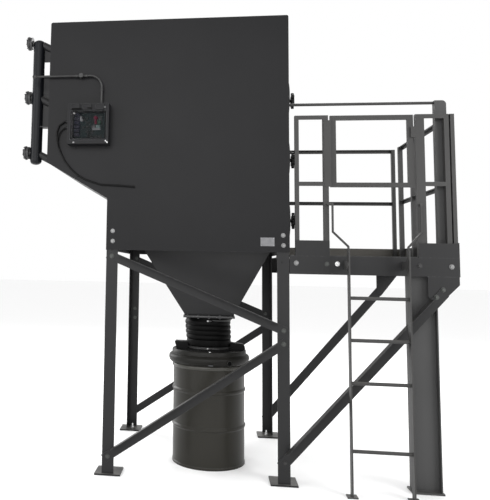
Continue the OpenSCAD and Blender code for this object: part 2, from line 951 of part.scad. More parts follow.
front_sheet();
rear_sheet();
left_wall();
plenum_floor();
tube_sheet();
right_wall();
roof_sheet();
hopper();
outlet_flange();
flex_hose();
hose_clamps();
drum_body();
drum_lid();
lid_handles();
drum_ring();
leg_front_left();
leg_front_right();
leg_rear_left();
leg_rear_right();
foot_plates();
front_upper_brace();
front_lower_brace();
rear_upper_brace();
rear_lower_brace();
front_channel();
rear_channel();
end_channel();
deck();
toe_boards();
front_knee_brace();
rear_knee_brace();
gussets();
platform_column();
railing_front();
railing_end();
railing_rear();
gate();
gate_hinges();
ladder_stringers();
ladder_rungs();
grab_rails();
riser();
overhead_bar();
header_tank();
header_brackets();
pulse_valves();
blow_pipes();
access_covers();
cover_knobs();
control_box();
box_cover();
circuit_board();
conduit();
sensor_cable();
nameplate();
inlet_collar();
outlet_collar();
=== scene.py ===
import bpy
import bmesh
import math
import random
from mathutils import Vector, Matrix


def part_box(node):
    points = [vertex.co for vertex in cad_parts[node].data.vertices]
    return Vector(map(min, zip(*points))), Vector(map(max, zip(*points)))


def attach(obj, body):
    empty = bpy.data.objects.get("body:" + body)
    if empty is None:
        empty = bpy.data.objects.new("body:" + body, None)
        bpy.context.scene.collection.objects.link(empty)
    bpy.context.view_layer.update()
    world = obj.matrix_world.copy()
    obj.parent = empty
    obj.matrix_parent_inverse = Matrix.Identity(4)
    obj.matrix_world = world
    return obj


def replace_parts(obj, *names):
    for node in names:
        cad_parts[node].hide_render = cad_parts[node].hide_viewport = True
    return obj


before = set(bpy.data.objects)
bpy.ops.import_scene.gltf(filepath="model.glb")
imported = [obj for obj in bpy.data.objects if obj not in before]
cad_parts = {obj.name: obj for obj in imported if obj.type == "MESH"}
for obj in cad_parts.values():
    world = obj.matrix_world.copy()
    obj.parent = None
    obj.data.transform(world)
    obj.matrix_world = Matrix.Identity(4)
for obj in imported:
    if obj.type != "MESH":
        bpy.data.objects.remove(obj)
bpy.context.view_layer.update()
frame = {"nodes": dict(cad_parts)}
NODES = frame["nodes"]
random.seed(7)

# ---------------------------------------------------------------- camera
CAM = dict(x=0.127, y=-5.572, z=1.543, yaw=-0.1339, pit=0.0992, rol=0.0193, f=632.49, px=128.56, py=204.331)


def make_camera():
    c = CAM
    cy, sy = math.cos(c["yaw"]), math.sin(c["yaw"])
    cp, sp = math.cos(c["pit"]), math.sin(c["pit"])
    fwd = Vector((sy * cp, cy * cp, sp))
    right = Vector((cy, -sy, 0.0))
    up = right.cross(fwd)
    cr, sr = math.cos(c["rol"]), math.sin(c["rol"])
    r2 = right * cr + up * sr
    u2 = up * cr - right * sr
    m = Matrix((
        (r2.x, u2.x, -fwd.x, c["x"]),
        (r2.y, u2.y, -fwd.y, c["y"]),
        (r2.z, u2.z, -fwd.z, c["z"]),
        (0, 0, 0, 1)))
    cam = bpy.data.cameras.new("camera")
    ob = bpy.data.objects.new("camera", cam)
    bpy.context.scene.collection.objects.link(ob)
    ob.matrix_world = m
    cam.sensor_width = 36.0
    cam.sensor_height = 36.0
    cam.sensor_fit = "VERTICAL"
    cam.lens = c["f"] * 36.0 / 500.0
    cam.shift_x = (245.0 - c["px"]) / 500.0
    cam.shift_y = -(250.0 - c["py"]) / 500.0
    cam.clip_start = 0.05
    cam.clip_end = 200.0
    bpy.context.scene.camera = ob


make_camera()


# ---------------------------------------------------------------- materials
def principled(name):
    m = bpy.data.materials.new(name)
    m.use_nodes = True
    nt = m.node_tree
    b = nt.nodes.get("Principled BSDF")
    return m, nt, b


def noise(nt, scale, detail=4.0, rough=0.55, vec=None):
    n = nt.nodes.new("ShaderNodeTexNoise")
    n.inputs["Scale"].default_value = scale
    n.inputs["Detail"].default_value = detail
    n.inputs["Roughness"].default_value = rough
    if vec is not None:
        nt.links.new(vec, n.inputs["Vector"])
    return n.outputs["Fac"]


def ramp(nt, fac, stops):
    r = nt.nodes.new("ShaderNodeValToRGB")
    e = r.color_ramp.elements
    while len(e) < len(stops):
        e.new(0.5)
    for i, (p, c) in enumerate(stops):
        e[i].position = p
        e[i].color = (c[0], c[1], c[2], 1.0) if len(c) == 3 else c
    nt.links.new(fac, r.inputs["Fac"])
    return r.outputs["Color"]


def mixcol(nt, fac, a, b, mode="MIX"):
    m = nt.nodes.new("ShaderNodeMix")
    m.data_type = "RGBA"
    m.blend_type = mode
    if isinstance(fac, float):
        m.inputs["Factor"].default_value = fac
    else:
        nt.links.new(fac, m.inputs["Factor"])
    for v, s in ((a, "A"), (b, "B")):
        sock = [k for k in m.inputs if k.name == s and k.type == "RGBA"][0]
        if isinstance(v, tuple):
            sock.default_value = (v[0], v[1], v[2], 1.0)
        else:
            nt.links.new(v, sock)
    return [k for k in m.outputs if k.type == "RGBA"][0]


def maprange(nt, fac, a, b, c, d):
    m = nt.nodes.new("ShaderNodeMapRange")
    m.inputs["From Min"].default_value = a
    m.inputs["From Max"].default_value = b
    m.inputs["To Min"].default_value = c
    m.inputs["To Max"].default_value = d
    nt.links.new(fac, m.inputs["Value"])
    return m.outputs["Result"]


def objcoord(nt, scale=(1, 1, 1)):
    t = nt.nodes.new("ShaderNodeTexCoord")
    m = nt.nodes.new("ShaderNodeMapping")
    m.inputs["Scale"].default_value = scale
    nt.links.new(t.outputs["Object"], m.inputs["Vector"])
    return m.outputs["Vector"]


def bump(nt, b, height, strength, dist):
    n = nt.nodes.new("ShaderNodeBump")
    n.inputs["Strength"].default_value = strength
    n.inputs["Distance"].default_value = dist
    nt.links.new(height, n.inputs["Height"])
    nt.links.new(n.outputs["Normal"], b.inputs["Normal"])


def mul(c, k):
    return tuple(min(1.0, v * k) for v in c)


def paint(name, col, rough=0.42, peel=1.0, wear=0.35, dust=0.25, streak=0.2, spec=0.22):
    """Sprayed enamel: slight waves in the sheet, faint rain streaks, rubbed edges, dust on top."""
    m, nt, b = principled(name)
    vec = objcoord(nt)
    big = noise(nt, 1.7, 3.0, 0.5, vec)
    base = ramp(nt, big, [(0.3, mul(col, 0.92)), (0.7, mul(col, 1.09))])
    sv = objcoord(nt, (34.0, 34.0, 1.6))
    st = noise(nt, 1.0, 3.0, 0.6, sv)
    stf = maprange(nt, st, 0.55, 0.8, 0.0, streak)
    base = mixcol(nt, stf, base, mul(col, 1.5))
    geo = nt.nodes.new("ShaderNodeNewGeometry")
    # the rubbed edges: where a rounded normal leaves the true one
    bv = nt.nodes.new("ShaderNodeBevel")
    bv.samples = 4
    bv.inputs["Radius"].default_value = 0.004
    dt = nt.nodes.new("ShaderNodeVectorMath")
    dt.operation = "DOT_PRODUCT"
    nt.links.new(bv.outputs["Normal"], dt.inputs[0])
    nt.links.new(geo.outputs["Normal"], dt.inputs[1])
    edge = maprange(nt, dt.outputs["Value"], 0.995, 0.9, 0.0, 1.0)
    en = noise(nt, 46.0, 5.0, 0.7, vec)
    ef = nt.nodes.new("ShaderNodeMath")
    ef.operation = "MULTIPLY"
    nt.links.new(edge, ef.inputs[0])
    nt.links.new(maprange(nt, en, 0.45, 0.62, 0.0, wear), ef.inputs[1])
    base = mixcol(nt, ef.outputs[0], base, (0.12, 0.12, 0.12))
    # dust that settles on faces that look up
    sep = nt.nodes.new("ShaderNodeSeparateXYZ")
    nt.links.new(geo.outputs["Normal"], sep.inputs["Vector"])
    up = maprange(nt, sep.outputs["Z"], 0.5, 1.0, 0.0, 1.0)
    dn = noise(nt, 9.0, 6.0, 0.65, vec)
    df = nt.nodes.new("ShaderNodeMath")
    df.operation = "MULTIPLY"
    nt.links.new(up, df.inputs[0])
    nt.links.new(maprange(nt, dn, 0.35, 0.75, 0.15 * dust, dust), df.inputs[1])
    base = mixcol(nt, df.outputs[0], base, (0.3, 0.29, 0.27))
    nt.links.new(base, b.inputs["Base Color"])
    rn = noise(nt, 2.5, 2.0, 0.5, vec)
    nt.links.new(maprange(nt, rn, 0.3, 0.7, rough - 0.01, rough + 0.02), b.inputs["Roughness"])
    b.inputs["Specular IOR Level"].default_value = spec
    # sheets are never dead flat
    bump(nt, b, noise(nt, 1.3, 1.0, 0.5, vec), 0.25 * peel, 0.004)
    return m


def steel(name, col=(0.5, 0.5, 0.5), rough=0.32, scale=90.0):
    m, nt, b = principled(name)
    vec = objcoord(nt)
    n = noise(nt, scale, 5.0, 0.6, vec)
    nt.links.new(ramp(nt, n, [(0.3, mul(col, 0.75)), (0.7, mul(col, 1.12))]), b.inputs["Base Color"])
    b.inputs["Metallic"].default_value = 0.9
    nt.links.new(maprange(nt, n, 0.3, 0.7, rough - 0.08, rough + 0.14), b.inputs["Roughness"])
    bump(nt, b, n, 0.1, 0.0006)
    return m


def rubber(name, col=(0.004, 0.004, 0.004), rough=0.5, spec=0.14):
    m, nt, b = principled(name)
    vec = objcoord(nt)
    n = noise(nt, 24.0, 5.0, 0.6, vec)
    nt.links.new(ramp(nt, n, [(0.35, mul(col, 0.8)), (0.75, mul(col, 1.7))]), b.inputs["Base Color"])
    nt.links.new(maprange(nt, n, 0.3, 0.7, rough - 0.1, rough + 0.15), b.inputs["Roughness"])
    b.inputs["Specular IOR Level"].default_value = spec
    bump(nt, b, noise(nt, 300.0, 2.0, 0.5, vec), 0.15, 0.0006)
    return m


def plastic(name, col, rough=0.4, spec=0.25):
    m, nt, b = principled(name)
    vec = objcoord(nt)
    n = noise(nt, 60.0, 4.0, 0.6, vec)
    nt.links.new(ramp(nt, n, [(0.3, mul(col, 0.9)), (0.7, mul(col, 1.1))]), b.inputs["Base Color"])
    nt.links.new(maprange(nt, n, 0.3, 0.7, rough - 0.05, rough + 0.1), b.inputs["Roughness"])
    b.inputs["Specular IOR Level"].default_value = spec
    bump(nt, b, noise(nt, 700.0, 2.0, 0.5, vec), 0.1, 0.0003)
    return m


HOUSING = (0.0055, 0.0055, 0.0061)
FRAME = (0.0108, 0.0108, 0.0113)
M = {}
M["housing"] = paint("housing_paint", HOUSING, 0.42, 1.0, 0.25, 0.1, 0.12, 0.15)
M["hopper"] = paint("hopper_paint", (0.0145, 0.0145, 0.015), 0.42, 1.0, 0.25, 0.3, 0.12)
M["frame"] = paint("frame_paint", FRAME, 0.44, 1.0, 0.4, 0.35, 0.1)
M["deck"] = paint("deck_paint", (0.02, 0.02, 0.02), 0.5, 0.6, 0.6, 0.12, 0.05)
M["drum"] = paint("drum_paint", (0.0142, 0.0133, 0.0103), 0.36, 0.8, 0.5, 0.4, 0.3)
M["lid"] = paint("lid_paint", (0.0035, 0.0035, 0.0035), 0.45, 0.8, 0.3, 0.06, 0.1, 0.1)
M["column"] = paint("column_paint", (0.044, 0.044, 0.044), 0.45, 1.0, 0.3, 0.3, 0.1)
M["riser"] = paint("riser_paint", (0.038, 0.038, 0.038), 0.45, 1.0, 0.3, 0.3, 0.1)
M["ring"] = paint("ring_paint", (0.0085, 0.0082, 0.007), 0.42, 0.8, 0.4, 0.06, 0.2, 0.14)
M["edge"] = paint("pale_edge_paint", (0.06, 0.06, 0.06), 0.4, 0.8, 0.6, 0.2, 0.3)
# paler, glossier paint for the drum bead: a painted highlight
M["rim"] = paint("drum_rim_painted_highlight", (0.04, 0.039, 0.034), 0.32, 0.8, 0.6, 0.2, 0.4, 0.3)
M["tank"] = paint("tank_paint", (0.0052, 0.0058, 0.0072), 0.36, 0.8, 0.3, 0.1, 0.1, 0.14)
M["rail"] = paint("rail_paint", (0.031, 0.0305, 0.03), 0.45, 1.0, 0.4, 0.3, 0.1)
M["valve"] = steel("cast_aluminium", (0.055, 0.055, 0.056), 0.5, 120.0)
M["steel"] = steel("zinc_steel", (0.2, 0.2, 0.2), 0.4)
M["bolt"] = steel("bolt_steel", (0.36, 0.36, 0.36), 0.3)
M["painted_dim_bolt"] = steel("bolt_painted_dim", (0.066, 0.069, 0.066), 0.45)
M["darkbolt"] = steel("dark_bolt", (0.05, 0.05, 0.05), 0.45)
M["hose"] = rubber("hose_rubber", (0.0011, 0.0011, 0.0011), 0.48, 0.07)
M["cable"] = rubber("cable_jacket", (0.003, 0.003, 0.003), 0.45, 0.1)
M["knob"] = plastic("knob_plastic", (0.006, 0.006, 0.006), 0.35, 0.15)
M["box"] = plastic("box_plastic", (0.0078, 0.0078, 0.0088), 0.45, 0.15)
M["board"] = plastic("circuit_board", (0.0022, 0.0085, 0.0092), 0.5, 0.08)
M["white"] = plastic("white_label", (0.14, 0.144, 0.15), 0.5)
M["red"] = plastic("red_lamp", (0.062, 0.002, 0.012), 0.3, 0.08)
M["teal"] = plastic("teal_plug", (0.055, 0.085, 0.082), 0.5, 0.2)
M["black"] = plastic("black_painted_shade", (0.0015, 0.0015, 0.0015), 0.5, 0.05)
M["conduit"] = steel("conduit_steel", (0.044, 0.044, 0.044), 0.45, 40.0)
M["bright"] = steel("screw_painted_glint", (0.75, 0.75, 0.75), 0.25)
M["boxedge"] = plastic("box_edge", (0.012, 0.0125, 0.013), 0.4, 0.18)
M["navy"] = plastic("navy_relays", (0.005, 0.005, 0.012), 0.45, 0.1)
M["green"] = plastic("green_lamp", (0.006, 0.022, 0.014), 0.4, 0.12)
M["lightgrey"] = plastic("light_grey_plastic", (0.042, 0.043, 0.045), 0.45)
M["plate"] = steel("plate_aluminium", (0.155, 0.155, 0.16), 0.45, 30.0)


def clear(name):
    m, nt, b = principled(name)
    vec = objcoord(nt)
    n = noise(nt, 8.0, 2.0, 0.5, vec)
    nt.links.new(ramp(nt, n, [(0.3, (0.006, 0.007, 0.008)), (0.7, (0.01, 0.011, 0.012))]), b.inputs["Base Color"])
    b.inputs["Roughness"].default_value = 0.12
    b.inputs["Specular IOR Level"].default_value = 0.12
    b.inputs["Alpha"].default_value = 0.12
    bump(nt, b, n, 0.05, 0.002)
    m.surface_render_method = "BLENDED"
    return m


M["clear"] = clear("clear_cover")

# toe boards: the rear one is paler, the colour blending towards the back
M["toe"] = paint("toe_paint", FRAME, 0.44, 1.0, 0.4, 0.35, 0.1)
nt = M["toe"].node_tree
b = nt.nodes.get("Principled BSDF")
old = b.inputs["Base Color"].links[0].from_socket
sp = nt.nodes.new("ShaderNodeSeparateXYZ")
nt.links.new(objcoord(nt), sp.inputs["Vector"])
nt.links.new(mixcol(nt, maprange(nt, sp.outputs["Y"], 0.4, 0.6, 0.0, 0.8), old, (0.085, 0.08, 0.07)), b.inputs["Base Color"])

MAT = {}
for n in ("front_sheet", "rear_sheet", "left_wall", "plenum_floor", "tube_sheet", "right_wall", "roof_sheet",
          "access_covers", "inlet_collar", "outlet_collar"):
    MAT[n] = "housing"
for n in ("leg_front_left", "leg_front_right", "leg_rear_left", "leg_rear_right", "foot_plates",
          "front_upper_brace", "front_lower_brace", "rear_upper_brace", "rear_lower_brace", "front_channel",
          "rear_channel", "end_channel", "toe_boards", "front_knee_brace", "rear_knee_brace", "gussets",
          "header_brackets", "blow_pipes"):
    MAT[n] = "frame"
for n in ("railing_front", "railing_end", "railing_rear", "gate", "grab_rails", "ladder_stringers",
          "ladder_rungs", "overhead_bar"):
    MAT[n] = "rail"
MAT.update(toe_boards="toe", hopper="hopper", platform_column="column", riser="riser", deck="deck", drum_body="drum", outlet_flange="hopper", drum_lid="lid", lid_handles="lid", drum_ring="ring", flex_hose="hose", hose_clamps="steel",
           gate_hinges="darkbolt", header_tank="tank", pulse_valves="valve", cover_knobs="knob", control_box="box",
           box_cover="clear", circuit_board="board", conduit="conduit", sensor_cable="cable", nameplate="plate")
for n, o in NODES.items():
    mat = M[MAT.get(n, "frame")]
    if len(o.material_slots) == 0:
        o.data.materials.append(mat)
    for s in o.material_slots:
        s.material = mat

# soften the sheet and section edges
BEVEL = {"front_sheet": 0.0012, "rear_sheet": 0.0012, "gate": 0.004, "railing_front": 0.003, "railing_end": 0.003,
         "railing_rear": 0.003, "riser": 0.006, "control_box": 0.004, "foot_plates": 0.0025, "front_channel": 0.003,
         "rear_channel": 0.003, "end_channel": 0.003, "platform_column": 0.0025, "toe_boards": 0.0015,
         "front_upper_brace": 0.0015, "front_lower_brace": 0.0015, "rear_upper_brace": 0.0015,
         "rear_lower_brace": 0.0015, "front_knee_brace": 0.0015, "rear_knee_brace": 0.0015, "leg_front_left": 0.002,
         "leg_front_right": 0.002, "leg_rear_left": 0.002, "leg_rear_right": 0.002, "ladder_stringers": 0.0015,
         "gussets": 0.001, "nameplate": 0.0006, "access_covers": 0.003, "cover_knobs": 0.004, "pulse_valves": 0.003,
         "box_cover": 0.0015, "header_brackets": 0.001, "drum_lid": 0.002, "outlet_flange": 0.0015}
for n, w in BEVEL.items():
    if n in NODES:
        md = NODES[n].modifiers.new("edge", "BEVEL")
        md.width = w
        md.segments = 2
        md.limit_method = "ANGLE"
        md.angle_limit = math.radians(35)
        md.use_clamp_overlap = True


# ---------------------------------------------------------------- mesh helpers
def new_obj(name, bm, mat, body="main", smooth=True, angle=35.0):
    me = bpy.data.meshes.new(name)
    bm.normal_update()
    bm.to_mesh(me)
    bm.free()
    ob = bpy.data.objects.new(name, me)
    bpy.context.scene.collection.objects.link(ob)
    me.materials.append(M[mat])
    if smooth:
        for p in me.polygons:
            p.use_smooth = True
        me.set_sharp_from_angle(angle=math.radians(angle))
    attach(ob, body)
    return ob


def axis_matrix(loc, axis):
    z = Vector(axis).normalized()
    ref = Vector((0, 0, 1)) if abs(z.z) < 0.9 else Vector((1, 0, 0))
    x = ref.cross(z).normalized()
    y = z.cross(x)
    return Matrix(((x.x, y.x, z.x, loc[0]), (x.y, y.y, z.y, loc[1]), (x.z, y.z, z.z, loc[2]), (0, 0, 0, 1)))


def lathe(bm, prof, mat, n=32, close=True):
    """prof: list of (r, h) turned about the matrix's own Z."""
    rings = []
    for r, h in prof:
        if r < 1e-6:
            rings.append([bm.verts.new(mat @ Vector((0, 0, h)))])
        else:
            rings.append([bm.verts.new(mat @ Vector((r * math.cos(2 * math.pi * k / n), r * math.sin(2 * math.pi * k / n), h)))
                          for k in range(n)])
    for a, b in zip(rings[:-1], rings[1:]):
        for k in range(n):
            k2 = (k + 1) % n
            if len(a) == 1 and len(b) == 1:
                continue
            if len(a) == 1:
                bm.faces.new((a[0], b[k], b[k2]))
            elif len(b) == 1:
                bm.faces.new((a[k], b[0], a[k2]))
            else:
                bm.faces.new((a[k], b[k], b[k2], a[k2]))


def hexbolt(bm, loc, axis, af=0.019, h=0.0075, washer=True, turn=None):
    """Hex head on a washer, standing on the point loc and pointing along axis."""
    mt = axis_matrix(loc, axis) @ Matrix.Rotation(random.uniform(0, 1.0) if turn is None else turn, 4, "Z")
    z0 = 0.0
    if washer:
        lathe(bm, [(0, 0), (af * 0.62 + 0.003, 0), (af * 0.62 + 0.003, 0.0022), (0, 0.0022)], mt, 20)
        z0 = 0.0022
    R = af / 2 / math.cos(math.pi / 6)
    ch = h * 0.22
    lathe(bm, [(0, z0), (R, z0), (R, z0 + h - ch), (R * 0.86, z0 + h), (0, z0 + h)], mt, 6)


def panbolt(bm, loc, axis, r=0.006, h=0.0035):
    mt = axis_matrix(loc, axis)
    lathe(bm, [(0, 0), (r, 0), (r, h * 0.45), (r * 0.8, h * 0.85), (r * 0.35, h), (r * 0.2, h * 0.7), (0, h * 0.7)], mt, 14)


def box(bm, a, b, bev=0.0):
    x0, y0, z0 = a
    x1, y1, z1 = b
    v = [bm.verts.new(p) for p in ((x0, y0, z0), (x1, y0, z0), (x1, y1, z0), (x0, y1, z0), (x0, y0, z1), (x1, y0, z1), (x1, y1, z1), (x0, y1, z1))]
    f = [bm.faces.new([v[i] for i in q]) for q in ((3, 2, 1, 0), (4, 5, 6, 7), (0, 1, 5, 4), (1, 2, 6, 5), (2, 3, 7, 6), (3, 0, 4, 7))]
    if bev > 0:
        es = list({e for q in f for e in q.edges})
        bmesh.ops.bevel(bm, geom=es, offset=bev, segments=2, affect="EDGES", profile=0.6, clamp_overlap=True)


def tube(bm, pts, r, n=12, cap=True):
    """Round bar along a list of points."""
    pts = [Vector(p) for p in pts]
    rings = []
    up = None
    for i, p in enumerate(pts):
        if i == 0:
            t = (pts[1] - pts[0]).normalized()
        elif i == len(pts) - 1:
            t = (pts[-1] - pts[-2]).normalized()
        else:
            t = ((pts[i + 1] - p).normalized() + (p - pts[i - 1]).normalized()).normalized()
        if up is None:
            up = Vector((0, 0, 1)) if abs(t.z) < 0.9 else Vector((1, 0, 0))
        x = up.cross(t).normalized()
        y = t.cross(x)
        up = y
        rings.append([bm.verts.new(p + x * (r * math.cos(2 * math.pi * k / n)) + y * (r * math.sin(2 * math.pi * k / n))) for k in range(n)])
    for a, b in zip(rings[:-1], rings[1:]):
        for k in range(n):
            bm.faces.new((a[k], a[(k + 1) % n], b[(k + 1) % n], b[k]))
    if cap:
        bm.faces.new(list(reversed(rings[0])))
        bm.faces.new(rings[-1])


def rounded(cx, cz, w, h, r, n=6):
    out = []
    for sx, sz, a0 in ((1, 1, 0), (-1, 1, 90), (-1, -1, 180), (1, -1, 270)):
        for k in range(n + 1):
            a = math.radians(a0 + 90.0 * k / n)
            out.append((cx + sx * (w / 2 - r) + r * math.cos(a), cz + sz * (h / 2 - r) + r * math.sin(a)))
    return out


def frame_y(bm, cx, cz, w, h, r, t, y0, y1):
    """Rounded frame of wall t, from y0 at the back to y1 at the front."""
    o = rounded(cx, cz, w, h, r)
    q = rounded(cx, cz, w - 2 * t, h - 2 * t, max(r - t, 0.0005))
    L = [[bm.verts.new((x, y, z)) for x, z in P] for P, y in ((o, y0), (o, y1 + 0.001), (rounded(cx, cz, w - 0.002, h - 0.002, r), y1), (q, y1), (q, y0))]
    n = len(o)
    for a, b in zip(L, L[1:] + L[:1]):
        for k in range(n):
            bm.faces.new((a[k], b[k], b[(k + 1) % n], a[(k + 1) % n]))


def plate_y(bm, cx, cz, w, h, r, y0, y1):
    """Rounded plate from y0 at the back to y1 at the front."""
    o = rounded(cx, cz, w, h, r)
    a = [bm.verts.new((x, y0, z)) for x, z in o]
    b = [bm.verts.new((x, y1, z)) for x, z in o]
    n = len(o)
    for k in range(n):
        bm.faces.new((a[k], b[k], b[(k + 1) % n], a[(k + 1) % n]))
    bm.faces.new(a)
    bm.faces.new(list(reversed(b)))


def smooth_path(pts, sub=6):
    """Catmull-Rom through the points."""
    P = [Vector(p) for p in pts]
    out = []
    for i in range(len(P) - 1):
        p0 = P[max(i - 1, 0)]
        p1, p2 = P[i], P[i + 1]
        p3 = P[min(i + 2, len(P) - 1)]
        for k in range(sub):
            t = k / sub
            out.append(0.5 * ((2 * p1) + (p2 - p0) * t + (2 * p0 - 5 * p1 + 4 * p2 - p3) * t * t + (3 * p1 - p0 - 3 * p2 + p3) * t ** 3))
    out.append(P[-1])
    return out


FY = -0.743
RY = 0.743
X0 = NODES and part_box("front_sheet")[0][0]
X1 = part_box("front_sheet")[1][0]

# ---------------------------------------------------------------- bolts in the photograph
# each set of bolts gets its own brightness: painted highlight and glint on the pale ones, painted shade on the dim
# and dark ones
bm = bmesh.new()
dark = bmesh.new()
dim_bolts = bmesh.new()
glint_bolts = bmesh.new()
for x, z in ((-0.643, 1.821), (-0.641, 1.743), (0.645, 1.802), (0.647, 1.727)):
    hexbolt(bm, (x, FY, z), (0, -1, 0), 0.022, 0.008)
    hexbolt(dark, (x, RY, z), (0, 1, 0), 0.018, 0.007)
# braces on the legs
for x, z in ((-0.645, 1.627), (0.645, 1.101), (0.645, 1.003), (-0.645, 0.137)):
    hexbolt(dim_bolts, (x, -0.745, z), (0, -1, 0), 0.024, 0.009)
    hexbolt(dark, (x, 0.745, z), (0, 1, 0), 0.018, 0.0075)
for z in (1.136, 1.060):
    hexbolt(dark, (-0.637, 0.745, z), (0, 1, 0), 0.018, 0.0075)
# nuts on the inner face of the rear legs
for x, z in ((-0.628, 1.636), (-0.637, 1.139), (-0.635, 1.051), (0.631, 1.123)):
    hexbolt(dim_bolts, (x, 0.7325, z), (0, -1, 0), 0.022, 0.014)
# knee brace ends
hexbolt(dark, (0.650, -0.745, 0.163), (0, -1, 0), 0.02, 0.008)
for x, z in ((1.763, 1.425), (1.717, 1.371)):
    hexbolt(dim_bolts, (x, -0.745, z), (0, -1, 0), 0.024, 0.009)
for x, z in ((0.650, 0.158), (1.765, 1.451), (1.712, 1.395)):
    hexbolt(dark, (x, 0.745, z), (0, 1, 0), 0.02, 0.008)
# channel bolts
# the last number picks the painted brightness: 0 painted shade, 1 lit, 2 painted glint, 3 dim
for x, z, bright in ((0.739, 1.599, 1), (0.959, 1.595, 3), (1.034, 1.597, 2), (1.609, 1.593, 0), (1.828, 1.590, 1)):
    hexbolt((dark, bm, glint_bolts, dim_bolts)[bright], (x, -0.739, z), (0, -1, 0), 0.024, 0.009)
for x in (0.75, 1.3, 1.83):
    hexbolt(dark, (x, 0.739, 1.59), (0, 1, 0), 0.024, 0.009)
for y in (-0.66, -0.1, 0.17, 0.63):
    hexbolt(dark, (1.885, y, 1.59), (1, 0, 0), 0.024, 0.009)
# column to channel and base plates
for x in (1.572, 1.692):
    hexbolt(dark, (x, -0.62, 0.012), (0, 0, 1), 0.022, 0.01)
# one steel bolt in lit, dim, glinting and shaded copies: painted light and shade
new_obj("bolts_painted_lit", bm, "steel")
new_obj("bolts_painted_dim", dim_bolts, "painted_dim_bolt")
new_obj("bolts_painted_glint", glint_bolts, "bright")
new_obj("bolts_painted_shade", dark, "darkbolt")

# anchor studs and nuts through the foot plates
bm = bmesh.new()
for sx in (-1, 1):
    for sy in (-1, 1):
        x, y = sx * 0.630, sy * 0.6465
        lathe(bm, [(0, 0.0), (0.0078, 0.0), (0.0078, 0.05), (0.006, 0.053), (0, 0.053)], axis_matrix((x, y, 0.0), (0, 0, 1)), 14)
        hexbolt(bm, (x, y, 0.012), (0, 0, 1), 0.024, 0.013)
new_obj("anchor_nuts", bm, "bolt")

# small drain hole shown as a dark plug low on the front sheet corner: painted shade in the hole
bm = bmesh.new()
lathe(bm, [(0, 0), (0.007, 0), (0.007, 0.0015), (0, 0.0015)], axis_matrix((0.634, -0.739, 1.601), (0, -1, 0)), 16)
new_obj("leg_hole_painted_shade", bm, "knob")

# ---------------------------------------------------------------- flexible hose
bm = bmesh.new()
hx, hy = 0.098, -0.215
z0, z1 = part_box("flex_hose")[0][2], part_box("flex_hose")[1][2]
za, zb = z0 + 0.077, z1 - 0.026
prof = [(0.1705, z0), (0.1748, z0), (0.1748, z0 + 0.022), (0.1775, z0 + 0.026), (0.179, z0 + 0.034),
        (0.179, za - 0.009), (0.1775, za - 0.002)]
nr = 4
for i in range(nr):
    p = (zb - za) / nr
    for t in range(12):
        a = t / 12.0
        rr = 0.1752 + 0.0068 * math.sin(math.pi * a) ** 0.7
        prof.append((rr + 0.0006 * math.sin(i * 1.7), za + (i + a) * p))
prof += [(0.1748, zb), (0.1748, z1), (0.1705, z1), (0.1705, z0)]
lathe(bm, prof, Matrix.Translation((hx, hy, 0)), 72)
for v in bm.verts:
    t = (v.co.z - z0) / (z1 - z0)
    q = min(1.0, max(0.0, (t - 0.15) / 0.65)) * (1.0 - 0.8 * min(1.0, max(0.0, (t - 0.9) / 0.1)))
    k = 1.0 + 0.026 * q
    v.co.x = hx - 0.011 * q + (v.co.x - hx) * k
    v.co.y = hy + (v.co.y - hy) * k
ob = new_obj("hose_corrugated", bm, "hose", angle=50)
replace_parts(ob, "flex_hose")

# worm clamps
bm = bmesh.new()
for z in (z0 + 0.005, z1 - 0.034):
    mt = Matrix.Translation((hx, hy, z))
    lathe(bm, [(0.1752, 0.001), (0.1768, 0.0), (0.1772, 0.002), (0.1768, 0.0035), (0.1768, 0.0125), (0.1772, 0.014), (0.1768, 0.016), (0.1752, 0.015)], mt, 72)
    box(bm, (hx - 0.016, hy - 0.1925, z + 0.0015), (hx + 0.014, hy - 0.1755, z + 0.0145), 0.002)
    mt = axis_matrix((hx + 0.014, hy - 0.186, z + 0.008), (1, 0, 0))
    lathe(bm, [(0, 0), (0.0048, 0), (0.0048, 0.008), (0.004, 0.009), (0, 0.009)], mt, 6)
ob = new_obj("clamp_bands", bm, "darkbolt")
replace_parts(ob, "hose_clamps")

# bolts round the outlet flange
bm = bmesh.new()
for k in range(-2, 3):
    for s in (-1, 1):
        hexbolt(bm, (hx + k * 0.086, hy + s * 0.193, 1.168), (0, 0, 1), 0.013, 0.006)
        hexbolt(bm, (hx + k * 0.086, hy + s * 0.193, 1.152), (0, 0, -1), 0.013, 0.006)
        if abs(k) < 2:
            hexbolt(bm, (hx + s * 0.193, hy + k * 0.086, 1.168), (0, 0, 1), 0.013, 0.006)
            hexbolt(bm, (hx + s * 0.193, hy + k * 0.086, 1.152), (0, 0, -1), 0.013, 0.006)
new_obj("flange_bolts", bm, "darkbolt")
# a paler strip along the top front edge of the flange, with one paler bolt head on it
bm = bmesh.new()
(fx0, fy0, fz0), (fx1, fy1, fz1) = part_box("outlet_flange")
box(bm, (fx0 + 0.003, fy0 - 0.001, fz1 - 0.0085), (fx1 - 0.003, fy0 + 0.002, fz1 - 0.0015), 0.0005)
hexbolt(bm, (0.157, fy0 - 0.001, fz1 - 0.007), (0, -1, 0), 0.012, 0.004, washer=False)
new_obj("flange_edge", bm, "edge")

